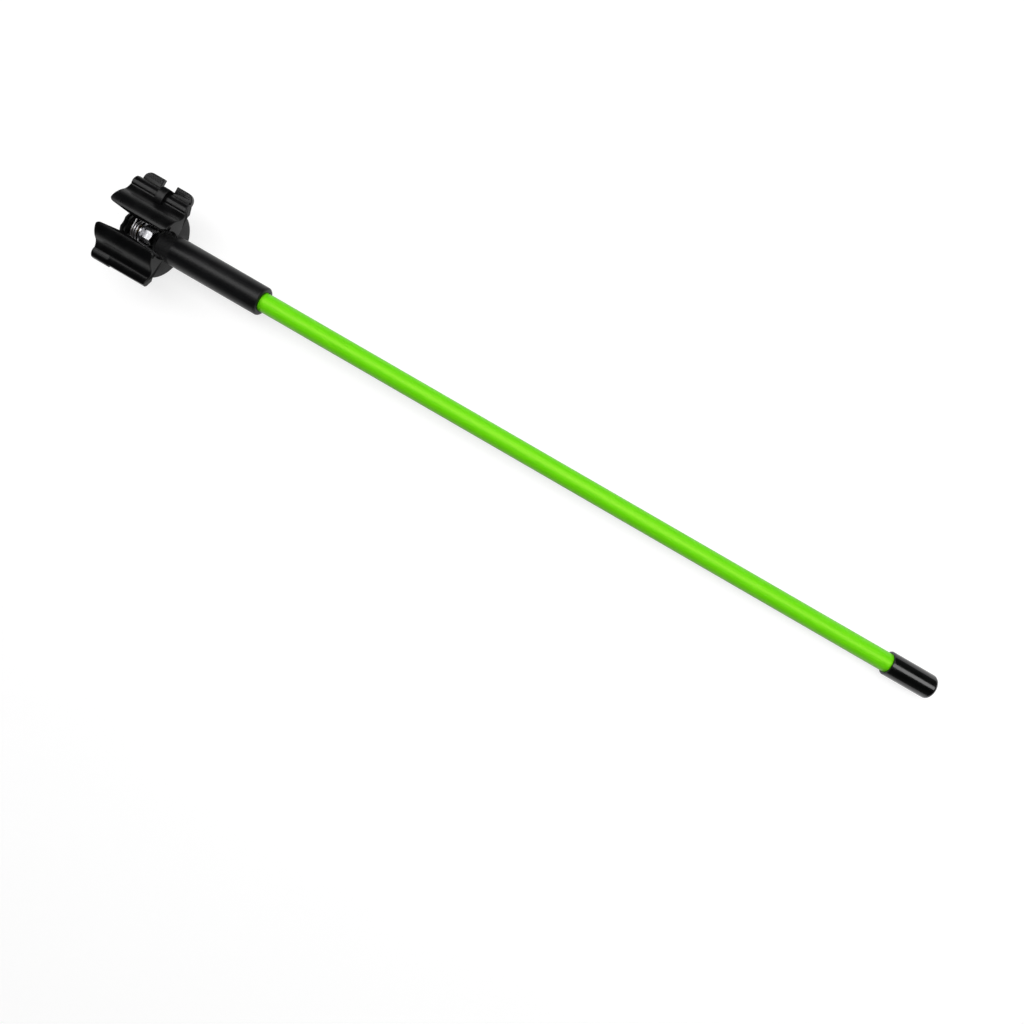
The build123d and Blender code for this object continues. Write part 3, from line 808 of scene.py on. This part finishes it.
class STICK_OT_jaws(bpy.types.Operator):
    """Make the two jaws"""

    bl_idname = "stick.jaws"
    bl_label = "Jaws"

    def execute(self, context):
        for node, body in (("upper_jaw", JAW), ("lower_jaw", STICK)):
            mesh = softened_mesh(node, sizes().edge_round, self.is_long, self.reshape)
            add_piece(node + "_moulding", mesh, body, "clip_plastic", node)
        return {"FINISHED"}

    @staticmethod
    def is_long(edge):
        """Whether an edge stands out and runs the jaw's length, clear of the mouth."""
        first, second = edge.verts[0].co, edge.verts[1].co
        middle, way = (first + second) / 2, second - first
        along = way.length > sizes().long_edge and abs(way.x) > ALONG_STICK * way.length
        at_mouth = abs(middle.y) < sizes().mouth_reach and middle.z > 0
        return edge.is_convex and along and not at_mouth

    @staticmethod
    def reshape(vertices):
        """Lets the right end fall back towards the wing, and gives the bead a narrow flat."""
        inner, outer = sizes().slant_start, sizes().slant_end
        end = max(vertex.co.x for vertex in vertices) - sizes().jaw_bevel
        on_bead = [v for v in vertices if sizes().bead_from < abs(v.co.y) < sizes().bead_to]
        top = max(vertex.co.z for vertex in on_bead) - sizes().bead_flat
        for vertex in on_bead:
            vertex.co.z = min(vertex.co.z, top)
        for vertex in vertices:
            if vertex.co.x > end:
                share = min(max((abs(vertex.co.y) - inner) / (outer - inner), 0.0), 1.0)
                smooth = share * share * (3 - 2 * share)
                vertex.co.x -= sizes().end_slant * smooth


class STICK_OT_pads(bpy.types.Operator):
    """Make the ribbed linings of the seat"""

    bl_idname = "stick.pads"
    bl_label = "Seat Pads"

    def execute(self, context):
        for node, body in (("upper_pad", JAW), ("lower_pad", STICK)):
            add_piece("ribbed_" + node, self.pad(node), body, "pad_rubber", node)
        return {"FINISHED"}

    @staticmethod
    def pad(node):
        """A lining with a rounded rib at each step along it, trimmed flush with the jaw's lip."""
        lowest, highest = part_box(node)
        side = 1 if highest.y > 0 else -1
        outer = max(abs(lowest.y), abs(highest.y))
        inner = outer - sizes().pad_thickness
        bottom, top = math.asin(lowest.z / outer), math.asin(highest.z / outer)
        ribs = round((highest.x - lowest.x) / sizes().rib_pitch)
        steps_per_rib, arc_steps = 8, 20
        stations = ribs * steps_per_rib
        points, faces = [], []
        for n in range(stations + 1):
            share = n / stations
            x = lowest.x + (highest.x - lowest.x) * share
            rise = sizes().rib_height * math.cos(math.pi * ribs * share) ** 4
            lip = sizes().mouth_half + abs(x) * math.tan(sizes().mouth_flare)
            flush = math.acos(min(lip / inner, 1.0))
            lower, upper = max(bottom, -flush), min(top, flush)
            back = [(k / arc_steps, outer) for k in range(arc_steps + 1)]
            front = [(across, inner + rise * math.sin(math.pi * across)) for across, _ in reversed(back)]
            for across, radius in back + front:
                angle = lower + (upper - lower) * across
                points.append((x, side * radius * math.cos(angle), radius * math.sin(angle)))
        loop = 2 * (arc_steps + 1)
        for n in range(stations):
            here, there = n * loop, (n + 1) * loop
            for k in range(loop):
                after = (k + 1) % loop
                faces.append((here + k, here + after, there + after, there + k))
        faces.append(range(loop))
        faces.append([stations * loop + k for k in range(loop)])
        return tidy_mesh(mesh_from("ribbed_" + node, points, faces=faces))


class STICK_OT_thumb_tab(bpy.types.Operator):
    """Finish the thumb tab, and put the grip dots on it"""

    bl_idname = "stick.thumb_tab"
    bl_label = "Thumb Tab"

    def execute(self, context):
        add_piece("thumb_tab_moulding", self.tab(), JAW, "clip_plastic", "thumb_tab")
        dots = run_tree(
            tree_for("dots"), "grip_dots", mesh_from("grip_dots", self.places()),
            Radius=sizes().dot_radius, Height=sizes().dot_height, Finish=finish_for("clip_plastic"),
        )
        add_piece("grip_dots", dots, JAW, "clip_plastic")
        return {"FINISHED"}

    @staticmethod
    def tab():
        """The tab with its hook drawn down close over the bead."""
        bead = low("thumb_tab").z + sizes().bead_above_tab

        def lower_hook(vertices):
            """Draws what is above the bead down towards it."""
            for vertex in vertices:
                lowered = bead + (vertex.co.z - bead) * sizes().hook_height
                vertex.co.z = min(vertex.co.z, lowered)

        return softened_mesh("thumb_tab", 0.0, lambda edge: False, lower_hook)

    @staticmethod
    def places():
        """Points over the two prongs, clear of their edges and round corners."""
        pitch, corner = sizes().dot_pitch, sizes().tab_corner
        clear = 2.5 * sizes().dot_radius
        row_pitch = pitch * math.sin(math.radians(60))
        lowest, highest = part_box("thumb_tab")
        middle, half = (lowest.x + highest.x) / 2, (highest.x - lowest.x) / 2
        top, edge = lowest.z + sizes().tab_thickness, highest.y
        notch, root = sizes().tab_notch / 2, high("upper_jaw").y
        columns = int((half - notch - 2 * clear) / pitch)
        rows = int((edge - root - 2 * clear) / pitch)
        places = []
        for column in range(columns + 1):
            for row in range(rows + 1):
                x = notch + clear + column * pitch + (row % 2) * pitch / 2
                y = edge - clear - row * row_pitch
                beyond = Vector((x - (half - corner), y - (edge - corner)))
                in_corner = beyond.x > 0 and beyond.y > 0 and beyond.length > corner - clear
                if x < half - clear and not in_corner:
                    places += [(middle + x, y, top), (middle - x, y, top)]
        return places


class STICK_OT_pivot(bpy.types.Operator):
    """Finish the pivot's bolt, nut, washer, bush and insert"""

    bl_idname = "stick.pivot"
    bl_label = "Pivot Hardware"

    def execute(self, context):
        paint_node("pivot_bolt", "zinc_steel")
        paint_node("lock_nut", "zinc_steel")
        paint_node("nut_collar", "nylon")
        paint_node("pivot_bush", "brass")
        paint_node("threaded_insert", "brass")
        start, end = low("washer").x, high("washer").x
        radius, bore, edge = outer_radius("washer"), sizes().washer_bore, sizes().washer_edge
        corners = [(start, bore, edge), (start, radius, edge), (end, radius, edge), (end, bore, edge)]
        mesh = turned_mesh("plated_washer", corners, "zinc_steel")
        add_piece("plated_washer", mesh, STICK, "zinc_steel", "washer")
        return {"FINISHED"}


class STICK_OT_spring(bpy.types.Operator):
    """Wind the torsion spring"""

    bl_idname = "stick.spring"
    bl_label = "Torsion Spring"

    def execute(self, context):
        line = self.line()
        edges = [(n, n + 1) for n in range(len(line) - 1)]
        mesh = run_tree(
            tree_for("wire"), "wound_spring", mesh_from("wound_spring", line, edges),
            Radius=sizes().wire_radius, Sides=sizes().wire_sides, Finish=finish_for("spring_steel"),
        )
        spring = new_piece("wound_spring", tidy_mesh(mesh), "spring_steel", "torsion_spring")
        start, end = self.coil_ends()
        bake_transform(spring)
        return {"FINISHED"}

    @staticmethod
    def angles():
        """Where the coil starts, at the moving leg, and ends, at the fixed leg."""
        radius, wire, reach = sizes().coil_radius, sizes().wire_radius, sizes().stop_reach
        anchor = sizes().stop_angle + math.asin((wire + sizes().wall_gap) / reach)
        first = sizes().hook_angle + math.acos(radius / sizes().hook_reach)
        last = anchor - math.acos(radius / reach) + sizes().coil_turns * 2 * math.pi
        return first, last

    @classmethod
    def coil_ends(cls):
        """The middle of the wire at the coil's two ends, along the stick."""
        first, last = cls.angles()
        end = low("washer").x - sizes().coil_gap - sizes().wire_radius
        return end - sizes().coil_pitch * (last - first) / (2 * math.pi), end

    @classmethod
    def line(cls):
        """The middle of the wire: the hook, the moving leg, the coil and the fixed leg."""
        radius = sizes().coil_radius
        (first, last), (start, end) = cls.angles(), cls.coil_ends()

        def on_coil(angle):
            """The point of the coil at an angle."""
            share = (angle - first) / (last - first)
            x = start + (end - start) * share
            return Vector((x, radius * math.cos(angle), AXIS_Z + radius * math.sin(angle)))

        def leg_end(angle, way, reach):
            """Where a straight leg from the coil gets to a distance from the axis."""
            tangent = Vector((0, -math.sin(angle), math.cos(angle)))
            return on_coil(angle) + tangent * way * math.sqrt(reach**2 - radius**2)

        turn_steps = 48
        steps = round((last - first) / (2 * math.pi) * turn_steps)
        coil = [on_coil(first + (last - first) * n / steps) for n in range(steps + 1)]
        bend = leg_end(first, -1, sizes().hook_reach)
        leg = (coil[0] - bend).normalized()
        hook_x = low("torsion_spring").x
        size, corner_steps = sizes().hook_bend, 8
        corner = [
            bend + Vector((-size, 0, 0)) * (1 - math.sin(t)) + leg * size * (1 - math.cos(t))
            for t in (math.pi / 2 * n / corner_steps for n in range(corner_steps + 1))
        ]
        fixed = leg_end(last, 1, sizes().anchor_reach)
        return [Vector((hook_x, bend.y, bend.z)), *corner, *coil, fixed]


class STICK_OT_screws(bpy.types.Operator):
    """Give the small screws their finish"""

    bl_idname = "stick.screws"
    bl_label = "Small Screws"

    def execute(self, context):
        paint_node("jaw_screws", "zinc_steel")
        paint_node("tab_screws", "zinc_steel")
        return {"FINISHED"}


# Studio


class STICK_OT_studio(bpy.types.Operator):
    """Set the floor, the lamps and the camera"""

    bl_idname = "stick.studio"
    bl_label = "Studio"

    def execute(self, context):
        self.floor()
        self.world(context.scene)
        self.lamps(context.scene)
        self.camera(context.scene)
        context.scene.view_settings.view_transform = "Standard"
        return {"FINISHED"}

    @staticmethod
    def floor():
        """A plane that touches the clip's foot and the underside of the cap."""
        tip = high("tip_cap").x
        foot_x, foot_z = low("sleeve").x, low("hub").z
        slope = (low("tip_cap").z - foot_z) / (tip - foot_x)
        reach = studio().floor_reach
        square = ((-reach, -reach), (reach, -reach), (reach, reach), (-reach, reach))
        corners = [(x, y, foot_z + (x - foot_x) * slope) for x, y in square]
        mesh = mesh_from("floor", corners, faces=[(0, 1, 2, 3)])
        finish = Finish("pale_floor")
        finish.tree.nodes.remove(finish.shader)
        tone = (studio().floor_tone,) * 3
        paper = finish.noise(finish.place(), scale=0.02, detail=3.0)
        pale = finish.blend(finish.spread(paper), tone, scaled(tone, 0.985))
        matt = finish.add("ShaderNodeBsdfDiffuse")
        finish.feed(matt, {"Color": pale})
        glow = finish.add("ShaderNodeEmission")
        finish.feed(glow, {"Strength": seen_by_eye(finish, studio().floor_glow)})
        both = finish.add("ShaderNodeAddShader")
        finish.feed(both, {0: matt.outputs[0], 1: glow.outputs[0]})
        finish.feed(finish.output, {"Surface": both.outputs[0]})
        mesh.materials.append(finish.material)
        floor = bpy.data.objects.new("floor", mesh)
        bpy.context.scene.collection.objects.link(floor)

    @staticmethod
    def world(scene):
        """Light that is strongest low down all round, like that of pale walls."""
        world = bpy.data.worlds.new("studio_world")
        world.use_nodes = True
        tree = world.node_tree
        direction = tree.nodes.new("ShaderNodeTexCoord")
        split = tree.nodes.new("ShaderNodeSeparateXYZ")
        strength = tree.nodes.new("ShaderNodeMapRange")
        strength.interpolation_type = "SMOOTHSTEP"
        strength.inputs["From Min"].default_value = math.sin(studio().horizon_top)
        strength.inputs["From Max"].default_value = math.sin(studio().zenith_foot)
        strength.inputs["To Min"].default_value = studio().horizon
        strength.inputs["To Max"].default_value = studio().zenith
        background = tree.nodes["Background"].inputs
        background["Color"].default_value = (1, 1, 1, 1)
        tree.links.new(direction.outputs["Generated"], split.inputs[0])
        tree.links.new(split.outputs["Z"], strength.inputs["Value"])
        tree.links.new(strength.outputs["Result"], background["Strength"])
        scene.world = world

    @staticmethod
    def lamps(scene):
        """A long soft lamp overhead, and a weaker one on the thumb tab's side."""
        settings = studio()
        target = Vector((camera_x(), 0, AXIS_Z))
        height, lean = settings.key_height, settings.key_lean
        place = target + Vector((0, height * math.sin(lean), height * math.cos(lean)))
        size = settings.key_length, settings.key_width
        add_lamp(scene, "key", place, target, settings.key_power, size)
        place = target + Vector((0, settings.fill_side, settings.fill_height))
        size = settings.fill_length, settings.fill_width
        add_lamp(scene, "fill", place, target, settings.fill_power, size)

    @staticmethod
    def camera(scene):
        """Straight above the stick, turned so that the stick runs down to the right."""
        settings = studio()
        data = bpy.data.cameras.new("camera")
        data.lens = settings.camera_lens
        data.sensor_width = 36.0
        data.shift_x = data.shift_y = settings.camera_shift
        data.clip_start, data.clip_end = 0.01, 100.0
        camera = bpy.data.objects.new("camera", data)
        camera.location = (camera_x(), 0.0, AXIS_Z + settings.camera_height)
        camera.rotation_euler = (0.0, 0.0, settings.camera_roll)
        scene.collection.objects.link(camera)
        scene.camera = camera


def camera_x():
    """The camera's place along the stick."""
    return CAD_BOX[0].x + (CAD_BOX[1].x - CAD_BOX[0].x) * studio().camera_share


def seen_by_eye(finish, strength):
    """A strength for camera, glossy and transmission rays alone."""
    path = finish.add("ShaderNodeLightPath")
    seen = path.outputs["Is Camera Ray"]
    for ray in ("Is Glossy Ray", "Is Transmission Ray"):
        either = finish.add("ShaderNodeMath", operation="MAXIMUM")
        finish.feed(either, {0: seen, 1: path.outputs[ray]})
        seen = either.outputs[0]
    glow = finish.add("ShaderNodeMath", operation="MULTIPLY")
    finish.feed(glow, {0: seen, 1: strength})
    return glow.outputs[0]


def add_lamp(scene, name, place, target, power, size):
    """A soft rectangular lamp that points at a target, long side along the stick, unseen itself."""
    data = bpy.data.lights.new(name, "AREA")
    data.shape = "RECTANGLE"
    data.size, data.size_y = size
    data.energy = power
    lamp = bpy.data.objects.new(name, data)
    back = (place - target).normalized()
    right = Vector((1, 0, 0))
    up = back.cross(right)
    turn = Matrix((right, up, back)).transposed()
    lamp.matrix_world = Matrix.Translation(place) @ turn.to_4x4()
    lamp.visible_camera = False
    scene.collection.objects.link(lamp)


class STICK_PT_pieces(bpy.types.Panel):
    """The stick's pieces and settings, in the 3D view's sidebar"""

    bl_idname = "STICK_PT_pieces"
    bl_label = "Alignment Stick"
    bl_space_type = "VIEW_3D"
    bl_region_type = "UI"
    bl_category = "Stick"

    def draw(self, context):
        for operator in OPERATORS:
            self.layout.operator(operator.bl_idname)
        for group in (sizes(), colours(), studio()):
            box = self.layout.box()
            for name in group.bl_rna.properties.keys():
                if name not in ("rna_type", "name"):
                    box.prop(group, name)


OPERATORS = (
    STICK_OT_studio,
    STICK_OT_rod,
    STICK_OT_sleeve,
    STICK_OT_cap,
    STICK_OT_hub,
    STICK_OT_jaws,
    STICK_OT_pads,
    STICK_OT_thumb_tab,
    STICK_OT_pivot,
    STICK_OT_spring,
    STICK_OT_screws,
)
GROUPS = {"stick_sizes": StickSizes, "stick_colours": StickColours, "stick_studio": StudioSettings}


def register():
    """Adds the settings, the operators and the panel."""
    for name, group in GROUPS.items():
        bpy.utils.register_class(group)
        setattr(bpy.types.Scene, name, bpy.props.PointerProperty(type=group))
    for cls in (*OPERATORS, STICK_PT_pieces):
        bpy.utils.register_class(cls)


def unregister():
    """Takes them away again."""
    for cls in (STICK_PT_pieces, *reversed(OPERATORS)):
        bpy.utils.unregister_class(cls)
    for name, group in GROUPS.items():
        delattr(bpy.types.Scene, name)
        bpy.utils.unregister_class(group)


def main():
    """Builds everything."""
    register()
    for operator in OPERATORS:
        family, name = operator.bl_idname.split(".")
        getattr(getattr(bpy.ops, family), name)()


if __name__ == "__main__":
    main()
